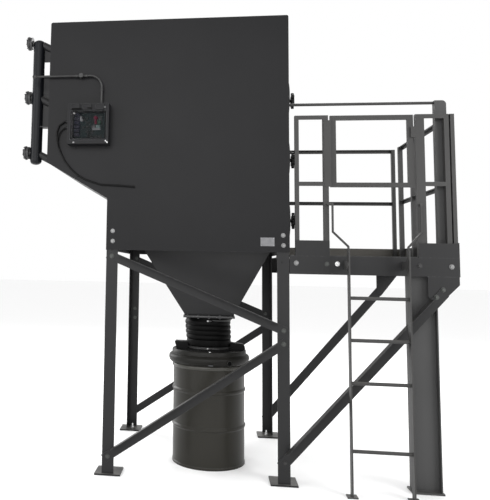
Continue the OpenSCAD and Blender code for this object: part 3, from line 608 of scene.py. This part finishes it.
# ---------------------------------------------------------------- drum ring, lid blocks, lug bore, tag and screws
rb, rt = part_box("drum_ring")[0][2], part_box("drum_ring")[1][2]
lid0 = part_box("drum_lid")[0][2]
r = 0.292
bm = bmesh.new()
at = Matrix.Translation((hx, hy, 0))
ring = [(r + 0.0005, rb), (r + 0.012, rb), (r + 0.019, rb + 0.003), (r + 0.027, rb + 0.012), (r + 0.032, rb + 0.022),
        (r + 0.035, rb + 0.034), (r + 0.035, rb + 0.044), (r + 0.033, rb + 0.053), (r + 0.028, rb + 0.061),
        (r + 0.020, rb + 0.067), (r + 0.012, rb + 0.071), (r + 0.009, rb + 0.074), (r + 0.008, rt - 0.004),
        (r + 0.005, rt), (r - 0.010, rt), (r - 0.010, rt - 0.0038), (r + 0.0055, rt - 0.0038), (r + 0.0005, rt - 0.02), (r + 0.0005, rb)]
lathe(bm, ring, at, 96)
ca, sa = math.cos(math.radians(-61)), math.sin(math.radians(-61))
lz = rb + 0.026
mt = axis_matrix((hx + ca * (r + 0.020), hy + sa * (r + 0.020), lz), (ca, sa, 0))
lathe(bm, [(0.0165, 0.004), (0.0165, 0.022), (0.0175, 0.0235), (0.0205, 0.0235), (0.022, 0.022), (0.022, 0)], mt, 32)
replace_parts(new_obj("closing_ring", bm, "ring", angle=40), "drum_ring")
bm = bmesh.new()
# a black disc inside the lug's bore: painted shade of the hole
lathe(bm, [(0, 0.0195), (0.0164, 0.0195), (0.0164, 0.0202), (0, 0.0202)], mt, 28)
new_obj("lug_bore_painted_shade", bm, "black")
# rolled bead where the skirt of the ring meets the drum, in paler paint as a painted highlight
bm = bmesh.new()
lathe(bm, [(r - 0.004, rb - 0.036), (r + 0.002, rb - 0.033), (r + 0.0055, rb - 0.026), (r + 0.0065, rb - 0.019), (r + 0.0055, rb - 0.012), (r + 0.002, rb - 0.006), (r - 0.004, rb - 0.003)], at, 96)
new_obj("drum_bead", bm, "rim")
bm = bmesh.new()
x0, x1 = hx - r + 0.012, hx - 0.170
zb_, ztop = lid0 - 0.002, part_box("lid_handles")[1][2] - 0.012
P = [(x0 + 0.021, zb_), (x1, zb_), (x1, ztop - 0.003), (x1 - 0.003, ztop), (x0 + 0.008, ztop), (x0 + 0.003, ztop - 0.002), (x0, ztop - 0.008)]
Q = [(hx + 0.170, zb_), (hx + r - 0.033, zb_), (hx + r - 0.022, zb_ + 0.003)]
Q += [(hx + r - 0.033 + 0.033 * math.cos(math.radians(a)), zb_ + 0.033 + 0.033 * math.sin(math.radians(a))) for a in range(-60, 91, 10)]
Q += [(hx + 0.200, zb_ + 0.071), (hx + 0.170, zb_ + 0.076)]
for O, hw in ((P, 0.045), (Q, 0.035)):
    a = [bm.verts.new((x, hy - hw, z)) for x, z in O]
    b = [bm.verts.new((x, hy + hw, z)) for x, z in O]
    for k in range(len(O)):
        bm.faces.new((a[k], a[(k + 1) % len(O)], b[(k + 1) % len(O)], b[k]))
    bm.faces.new(list(reversed(a)))
    bm.faces.new(b)
ob = new_obj("lid_blocks", bm, "lid", angle=30)
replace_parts(ob, "lid_handles")
bm = bmesh.new()
for a in (-88, 40, 140):
    c = Vector((hx + math.cos(math.radians(a)) * 0.262, hy + math.sin(math.radians(a)) * 0.262, lid0 + 0.010))
    hexbolt(bm, c, (0, 0, 1), 0.013, 0.006)
new_obj("lid_bolts", bm, "bolt")
bm = bmesh.new()
box(bm, (hx - 0.002, hy - r - 0.0335, rb + 0.006), (hx + 0.034, hy - r - 0.0185, rb + 0.014), 0.0008)
new_obj("ring_tag", bm, "lightgrey")
# clamp screws that catch the light
bm = bmesh.new()
for z in (z0 + 0.013, z1 - 0.026):
    panbolt(bm, (hx - 0.009, hy - 0.1925, z), (0, -1, 0), 0.0075, 0.004)
new_obj("clamp_screws", bm, "bolt")

# ---------------------------------------------------------------- pulse valves
bm = bmesh.new()
cov = bmesh.new()
tank_x = -1.310
for i in range(3):
    mt = axis_matrix((tank_x - 0.0775, -0.62, 2.457 + 0.46 * i), (-1, 0, 0))
    for k in range(8):
        a = 2 * math.pi * (k + 0.5) / 8
        c, sn = 0.047 * math.cos(a), 0.047 * math.sin(a)
        q = mt @ Matrix.Translation((c, sn, 0.009))
        lathe(bm, [(0, 0), (0.0078, 0), (0.0078, 0.007), (0.0042, 0.0075), (0.0042, 0.0145), (0, 0.015)], q, 6)
    # rounded cap with radial ribs
    lathe(cov, [(0.036, 0.008), (0.035, 0.017), (0.031, 0.0245), (0.02, 0.0255), (0, 0.0255)], mt, 28)
    for k in range(8):
        q = mt @ Matrix.Rotation(2 * math.pi * k / 8, 4, "Z")
        vs = [q @ Vector(v) for v in ((0.012, -0.002, 0.0252), (0.053, -0.002, 0.0095), (0.053, 0.002, 0.0095), (0.012, 0.002, 0.0252),
                                      (0.012, -0.002, 0.0085), (0.053, -0.002, 0.0085), (0.053, 0.002, 0.0085), (0.012, 0.002, 0.0085))]
        vv = [cov.verts.new(v) for v in vs]
        for f in ((0, 1, 2, 3), (7, 6, 5, 4), (0, 4, 5, 1), (1, 5, 6, 2), (2, 6, 7, 3), (3, 7, 4, 0)):
            cov.faces.new([vv[j] for j in f])
new_obj("valve_studs", bm, "darkbolt")
new_obj("valve_caps", cov, "valve")

# stiffening plates between the header brackets and under the top pipe
bm = bmesh.new()
px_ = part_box("header_brackets")[1][0]
zb0, zb1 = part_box("header_brackets")[0][2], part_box("header_brackets")[1][2]
box(bm, (tank_x + 0.043, -0.6225, zb0 + 0.140), (px_, -0.6175, zb1 - 0.140), 0.0008)
box(bm, (tank_x + 0.043, -0.6225, zb1 + 0.123), (px_, -0.6175, zb1 + 0.236), 0.0008)
box(bm, (tank_x + 0.040, -0.6225, zb0 + 0.010), (tank_x + 0.064, -0.6175, zb0 + 0.141), 0.0008)
new_obj("bracket_plates", bm, "frame", smooth=False)

# ---------------------------------------------------------------- control box detail
bx0, by0, bz0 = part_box("control_box")[0]
bx1, by1, bz1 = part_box("control_box")[1]
yf = -0.833
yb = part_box("circuit_board")[0][1]
# parts on the board
bm = bmesh.new()
rnd = random.Random(3)
for r in range(5):
    for c in range(5):
        if rnd.random() < 0.3:
            continue
        x = bx0 + 0.120 + c * 0.033 + rnd.uniform(-0.004, 0.004)
        z = bz0 + 0.066 + r * 0.036 + rnd.uniform(-0.004, 0.004)
        w, h, d = rnd.uniform(0.006, 0.013), rnd.uniform(0.004, 0.011), rnd.uniform(0.006, 0.016)
        box(bm, (x - w, yb - d, z - h), (x + w, yb, z + h), 0.0008)
new_obj("board_parts", bm, "knob")
bm = bmesh.new()
for k in range(6):
    z = bz0 + 0.062 + k * 0.032
    box(bm, (bx0 + 0.050, yb - 0.022, z), (bx0 + 0.092, yb, z + 0.026), 0.0015)
new_obj("relay_column", bm, "navy")
bm = bmesh.new()
lx, lz_ = bx0 + 0.192, bz0 + 0.114
box(bm, (lx, yb - 0.021, lz_), (lx + 0.064, yb, lz_ + 0.015), 0.0015)
box(bm, (bx0 + 0.094, yb - 0.024, bz0 + 0.184), (bx0 + 0.118, yb, bz0 + 0.220), 0.002)
new_obj("terminal_strip", bm, "white")
bm = bmesh.new()
box(bm, (lx + 0.028, yb - 0.019, lz_ + 0.016), (lx + 0.061, yb, lz_ + 0.039), 0.0015)
new_obj("plug_block", bm, "teal")
bm = bmesh.new()
box(bm, (lx + 0.003, yb - 0.019, lz_ + 0.016), (lx + 0.025, yb, lz_ + 0.036), 0.0015)
box(bm, (bx0 + 0.243, yb - 0.014, bz0 + 0.196), (bx0 + 0.262, yb, bz0 + 0.222), 0.002)
new_obj("relay_pair", bm, "lightgrey")
bm = bmesh.new()
for k in range(4):
    x = lx + 0.008 + k * 0.0160
    lathe(bm, [(0, 0), (0.0042, 0), (0.0042, 0.001), (0, 0.001)], axis_matrix((x, yb - 0.021, lz_ + 0.008), (0, -1, 0)), 12)
new_obj("terminal_screws", bm, "knob")
bm = bmesh.new()
lathe(bm, [(0, 0), (0.0165, 0), (0.0165, 0.018), (0.0135, 0.024), (0, 0.026)], axis_matrix((bx0 + 0.217, yb, bz0 + 0.209), (0, -1, 0)), 24)
box(bm, (bx0 + 0.207, yb - 0.014, bz0 + 0.160), (bx0 + 0.224, yb, bz0 + 0.192), 0.002)
new_obj("red_lamp", bm, "red")
bm = bmesh.new()
box(bm, (bx0 + 0.230, yb - 0.012, bz0 + 0.160), (bx0 + 0.256, yb, bz0 + 0.190), 0.002)
new_obj("green_part", bm, "green")
# a dark wire loom across the board
bm = bmesh.new()
for k in range(5):
    z = bz0 + 0.205 + 0.006 * k
    pts = [(bx0 + 0.1, yb - 0.02, z), (bx0 + 0.14, yb - 0.034, z - 0.02 - 0.004 * k), (bx0 + 0.165, yb - 0.036, bz0 + 0.10 + 0.003 * k),
           (bx0 + 0.15 + 0.01 * k, yb - 0.03, bz0 + 0.062)]
    tube(bm, smooth_path(pts, 6), 0.0022, 8)
new_obj("board_wires", bm, "cable")
# rim of the cover, pale as a painted highlight, and a paler right edge of the box
bm = bmesh.new()
c0, c1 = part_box("box_cover")
frame_y(bm, (c0[0] + c1[0]) / 2, (c0[2] + c1[2]) / 2, c1[0] - c0[0] + 0.002, c1[2] - c0[2] + 0.002, 0.012, 0.002, -0.833, -0.8393)
new_obj("cover_rim_painted_highlight", bm, "lightgrey")
bm = bmesh.new()
frame_y(bm, (bx0 + bx1) / 2, (bz0 + bz1) / 2, bx1 - bx0, bz1 - bz0, 0.010, 0.003, yf + 0.002, yf - 0.001)
new_obj("box_rim", bm, "boxedge")
# three hooded windows along the top
bm = bmesh.new()
dk = bmesh.new()
hd = bmesh.new()
for x in (bx0 + 0.061, bx0 + 0.154, bx0 + 0.254):
    z = bz1 - 0.031
    frame_y(bm, x, z, 0.070, 0.048, 0.018, 0.005, -0.842, -0.8475)
    plate_y(hd, x, z, 0.062, 0.040, 0.015, -0.842, -0.8445)
new_obj("hood_frames", bm, "boxedge")
new_obj("hood_faces", hd, "box")
# black strips for the slots in two of the hoods: painted shade
plate_y(dk, -0.931, 2.762, 0.080, 0.012, 0.0055, -0.8475, -0.8495)
plate_y(dk, -0.832, 2.767, 0.034, 0.010, 0.0045, -0.8475, -0.8495)
new_obj("hood_slots_painted_shade", dk, "black")
# screws and the foot
bm = bmesh.new()
# these screws are painted bright: a painted glint
panbolt(bm, (-0.700, yf - 0.002, 2.511), (0, -1, 0), 0.0065, 0.005)
panbolt(bm, (-0.6885, yf - 0.002, 2.4985), (0, -1, 0), 0.0065, 0.005)
tube(bm, [(-0.700, yf - 0.005, 2.511), (-0.6885, yf - 0.005, 2.4985)], 0.0035, 8)
new_obj("box_screws", bm, "bright")
bm = bmesh.new()
panbolt(bm, (-0.713, yf, 2.777), (0, -1, 0), 0.008, 0.005)
panbolt(bm, (bx0 + 0.053, -0.8385, 2.729), (0, -1, 0), 0.0085, 0.004)
panbolt(bm, (bx0 + 0.052, yf - 0.002, bz0 + 0.010), (0, -1, 0), 0.0085, 0.004)
new_obj("cover_screws", bm, "steel")
bm = bmesh.new()
for x in (bx0 + 0.05, bx1 - 0.05):
    for z0_, z1_ in ((bz0 - 0.022, bz0), (bz1, bz1 + 0.020)):
        if z0_ > bz1 - 0.01 and x > 0.5 * (bx0 + bx1):
            continue
        box(bm, (x - 0.016, FY - 0.004, z0_), (x + 0.016, FY, z1_), 0.001)
        hexbolt(bm, (x, FY - 0.004, (z0_ + z1_) / 2), (0, -1, 0), 0.011, 0.005)
new_obj("box_feet", bm, "box")
bm = bmesh.new()
for z in (bz0 + 0.193, bz0 + 0.145):
    lathe(bm, [(0, 0), (0.016, 0), (0.016, 0.010), (0.012, 0.017), (0.0105, 0.026), (0.0072, 0.031), (0.0067, 0.031)],
          axis_matrix((bx0, -0.755, z), (-1, 0, 0)), 24)
new_obj("box_glands", bm, "box")
# second cable that joins the first
bm = bmesh.new()
pts = [(bx0, -0.755, bz0 + 0.145), (bx0 - 0.034, -0.757, bz0 + 0.141), (bx0 - 0.066, -0.760, bz0 + 0.117),
       (bx0 - 0.086, -0.764, bz0 + 0.078), (bx0 - 0.092, -0.767, bz0 + 0.030), (bx0 - 0.082, -0.767, bz0 - 0.020)]
tube(bm, smooth_path(pts, 8), 0.0052, 12)
new_obj("second_cable", bm, "cable")
# conduit fittings: coupling nuts, body and end bush
bm = bmesh.new()
cy_ = -0.773
zt = 3.048
for loc, ax in (((-0.750, cy_, bz1 + 0.001), (0, 0, 1)), ((-0.750, cy_, 2.925), (0, 0, 1)), ((-0.865, cy_, zt), (-1, 0, 0)),
                ((-0.942, cy_, zt), (-1, 0, 0)), ((-1.281, cy_, zt), (-1, 0, 0))):
    mt = axis_matrix(loc, ax)
    lathe(bm, [(0.0092, 0.0), (0.0125, 0.0), (0.013, 0.003), (0.013, 0.014), (0.0115, 0.017), (0.0115, 0.026), (0.0092, 0.028)], mt, 20)
new_obj("conduit_nuts", bm, "conduit")
# straps that hold the cable
bm = bmesh.new()
for x, z, ax in ((-0.100, 0.090, (0, 0, 1)), (-0.073, -0.041, (0.3, 0, 1)), (0.079, -0.238, (1, 0, -0.8)), (0.397, -0.316, (1, 0, 0))):
    a = Vector(ax).normalized()
    mt = axis_matrix((bx0 + x, -0.755, bz0 + z), a)
    lathe(bm, [(0.0068, -0.006), (0.0085, -0.006), (0.0085, 0.006), (0.0068, 0.006), (0.0068, -0.006)], mt, 16)
    box(bm, (bx0 + x - 0.006, -0.7485, bz0 + z - 0.006), (bx0 + x + 0.006, FY, bz0 + z + 0.006), 0.001)
new_obj("cable_saddles", bm, "cable")

# ---------------------------------------------------------------- nameplate rivets
bm = bmesh.new()
nx0, ny0, nz0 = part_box("nameplate")[0]
nx1, ny1, nz1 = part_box("nameplate")[1]
for x in (nx0 + 0.005, nx1 - 0.005):
    for z in (nz0 + 0.005, nz1 - 0.005):
        panbolt(bm, (x, ny0, z), (0, -1, 0), 0.0025, 0.0015)
new_obj("plate_rivets", bm, "bolt")

# ---------------------------------------------------------------- access covers: gasket rims and knob inserts
bm = bmesh.new()
ins = bmesh.new()
for y in (-0.37, 0.37):
    for i in range(3):
        z = 1.940 + 0.492 * i
        mt = axis_matrix((0.693, y, z), (1, 0, 0))
        lathe(bm, [(0.2, 0.0), (0.2035, 0.0005), (0.2035, 0.006), (0.2, 0.0068)], mt, 64)
        mt = axis_matrix((0.775, y, z), (1, 0, 0))
        lathe(ins, [(0, 0.0), (0.016, 0.0), (0.014, 0.003), (0, 0.003)], mt, 24)
new_obj("cover_gaskets", bm, "cable")
new_obj("knob_inserts", ins, "bolt")

# ---------------------------------------------------------------- strip that closes the gap at the gate's hinge side
bm = bmesh.new()
(gx0, gy0, gz0), (gx1, gy1, gz1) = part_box("gate")
yg = min(gy0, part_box("railing_front")[0][1])
box(bm, (gx0 - 0.034, yg - 0.0035, gz0), (gx0 + 0.017, yg - 0.0010, gz1 - 0.039), 0.0006)
box(bm, (gx0 - 0.034, yg - 0.0015, gz0), (gx0 - 0.019, yg + 0.0010, gz1 - 0.039))
new_obj("hinge_strip", bm, "rail", smooth=False)

# ---------------------------------------------------------------- raised lozenges of the tread plate
bm = bmesh.new()
(dx0, dy0, dz0), (dx1, dy1, dz1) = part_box("deck")
nx, ny = int((dx1 - dx0 - 0.06) / 0.03), int((dy1 - dy0 - 0.06) / 0.03)
for i in range(nx):
    for j in range(ny):
        x, y = dx0 + 0.045 + 0.03 * i, dy0 + 0.045 + 0.03 * j
        a = math.radians(45 if (i + j) % 2 else -45)
        ax, ay = math.cos(a), math.sin(a)
        lo, hi = [], None
        for u, v in ((0.0125, 0), (0, 0.0032), (-0.0125, 0), (0, -0.0032)):
            lo.append(bm.verts.new((x + ax * u - ay * v, y + ay * u + ax * v, dz1 - 0.0002)))
        hi = [bm.verts.new((x + ax * u - ay * v, y + ay * u + ax * v, dz1 + 0.0014)) for u, v in ((0.008, 0), (0, 0.0016), (-0.008, 0), (0, -0.0016))]
        for k in range(4):
            bm.faces.new((lo[k], lo[(k + 1) % 4], hi[(k + 1) % 4], hi[k]))
        bm.faces.new(hi)
        bm.faces.new(list(reversed(lo)))
new_obj("deck_tread", bm, "deck", smooth=False)

# ---------------------------------------------------------------- duct collar bolts at the back
bm = bmesh.new()
for n in ("inlet_collar", "outlet_collar"):
    a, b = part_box(n)
    cx, cz = (a[0] + b[0]) / 2, (a[2] + b[2]) / 2
    for k in range(12):
        t = 2 * math.pi * k / 12
        hexbolt(bm, (cx + 0.2 * math.cos(t), 0.749, cz + 0.2 * math.sin(t)), (0, 1, 0), 0.013, 0.006)
new_obj("collar_bolts", bm, "darkbolt")

# ---------------------------------------------------------------- floor and light
bm = bmesh.new()
for p in ((-60, -60), (60, -60), (60, 60), (-60, 60)):
    bm.verts.new((p[0], p[1], -0.0005))
bm.verts.ensure_lookup_table()
bm.faces.new(bm.verts)
me = bpy.data.meshes.new("floor")
bm.to_mesh(me)
bm.free()
floor = bpy.data.objects.new("floor", me)
bpy.context.scene.collection.objects.link(floor)
m, nt, b = principled("floor_pale")
b.inputs["Base Color"].default_value = (0.94, 0.94, 0.94, 1)
b.inputs["Roughness"].default_value = 0.9
me.materials.append(m)

w = bpy.data.worlds.new("world")
bpy.context.scene.world = w
w.use_nodes = True
w.node_tree.nodes["Background"].inputs["Color"].default_value = (1, 1, 1, 1)
w.node_tree.nodes["Background"].inputs["Strength"].default_value = 1.0


def area(name, loc, target, size, power):
    l = bpy.data.lights.new(name, "AREA")
    l.shape = "RECTANGLE"
    l.size = size[0]
    l.size_y = size[1]
    l.energy = power
    o = bpy.data.objects.new(name, l)
    bpy.context.scene.collection.objects.link(o)
    o.location = loc
    d = Vector(target) - Vector(loc)
    o.rotation_euler = d.to_track_quat("-Z", "Y").to_euler()
    return o


area("key", (-1.5, -9.0, 4.4), (0.3, 0, 1.6), (7, 5), 370)
area("side", (-7.0, -4.5, 3.0), (1.2, -0.4, 1.8), (4, 4), 240)
area("fill", (6.0, -5.5, 3.5), (0.6, 0, 1.4), (4, 4), 300)
area("back", (1.0, 6.0, 6.5), (0.3, 0, 1.8), (5, 3), 300)
area("left", (-6.0, 4.5, 3.2), (-0.4, 0, 1.8), (4, 4), 260)

bpy.context.scene.view_settings.view_transform = "Standard"
bpy.context.scene.view_settings.look = "None"
